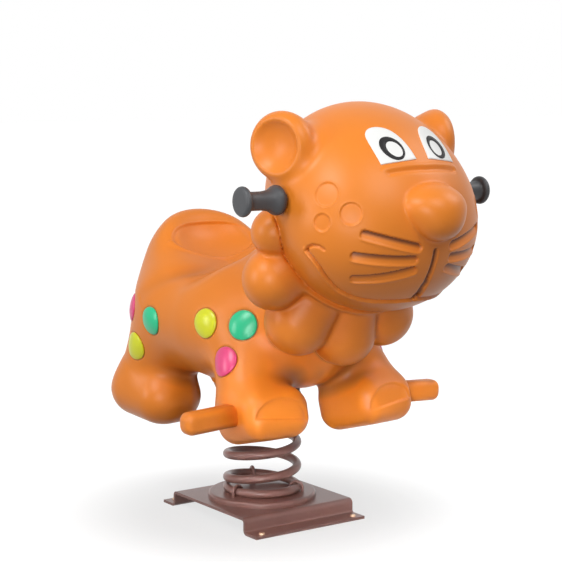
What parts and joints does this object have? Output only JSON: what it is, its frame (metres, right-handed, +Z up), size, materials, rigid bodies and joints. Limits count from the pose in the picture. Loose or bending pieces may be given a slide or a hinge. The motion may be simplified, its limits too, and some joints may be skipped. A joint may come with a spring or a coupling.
{
  "type": "spring rider",
  "caption": "Playground spring rider: a hollow moulded lion with a saddle, hand grips and foot pegs, carried by a coil spring on a folded steel base plate.",
  "frame": {"origin": "on the ground below the spring's axis, in the middle of the four anchor holes", "axes": "+Z up along the spring, -Y the way the animal faces, +X its left side"},
  "size_m": [0.5596, 0.8197, 0.7604],
  "materials": {
    "orange_plastic": "satin moulded polyethylene",
    "brown_painted_steel": "satin powder coat",
    "grey_painted_steel": "satin powder coat",
    "zinc_plated_steel": "zinc plated",
    "insert_brass": "machined",
    "grip_rubber": "satin moulded",
    "yellow_plastic": "gloss",
    "green_plastic": "gloss",
    "pink_plastic": "gloss",
    "white_plastic": "satin",
    "black_plastic": "satin"
  },
  "bodies": {
    "base": {"base_plate": "brown_painted_steel", "spring_seat": "brown_painted_steel", "lower_clips": "brown_painted_steel", "lower_clip_nuts": "zinc_plated_steel"},
    "coil": {"spring": "brown_painted_steel"},
    "rider": {"top_plate": "brown_painted_steel", "upper_clips": "brown_painted_steel", "upper_clip_nuts": "zinc_plated_steel", "body_bolts": "zinc_plated_steel", "body_washers": "zinc_plated_steel", "body_inserts": "insert_brass", "body_shell": "orange_plastic", "head_shell": "orange_plastic", "neck_bolts": "zinc_plated_steel", "neck_washers": "zinc_plated_steel", "neck_nuts": "zinc_plated_steel", "handlebar": "grey_painted_steel", "grip_left": "grip_rubber", "grip_right": "grip_rubber", "peg_left": "orange_plastic", "peg_right": "orange_plastic", "peg_studs": "zinc_plated_steel", "spots_yellow": "yellow_plastic", "spots_green": "green_plastic", "spots_pink": "pink_plastic", "eye_panels": "white_plastic", "eye_rings": "black_plastic"}
  },
  "joints": [
    {"name": "rock", "type": "hinge", "parent": "base", "child": "coil", "pos_m": [0, 0, 0.143], "axis": [1, 0, 0], "range_deg": [-20, 20], "stiffness_Nm_per_rad": 400, "springref_deg": -3.55, "deforming": ["spring"]},
    {"name": "sway", "type": "hinge", "parent": "coil", "child": "rider", "pos_m": [0, 0, 0.143], "axis": [0, 1, 0], "range_deg": [-15, 15], "stiffness_Nm_per_rad": 400, "deforming": ["spring"]}
  ]
}
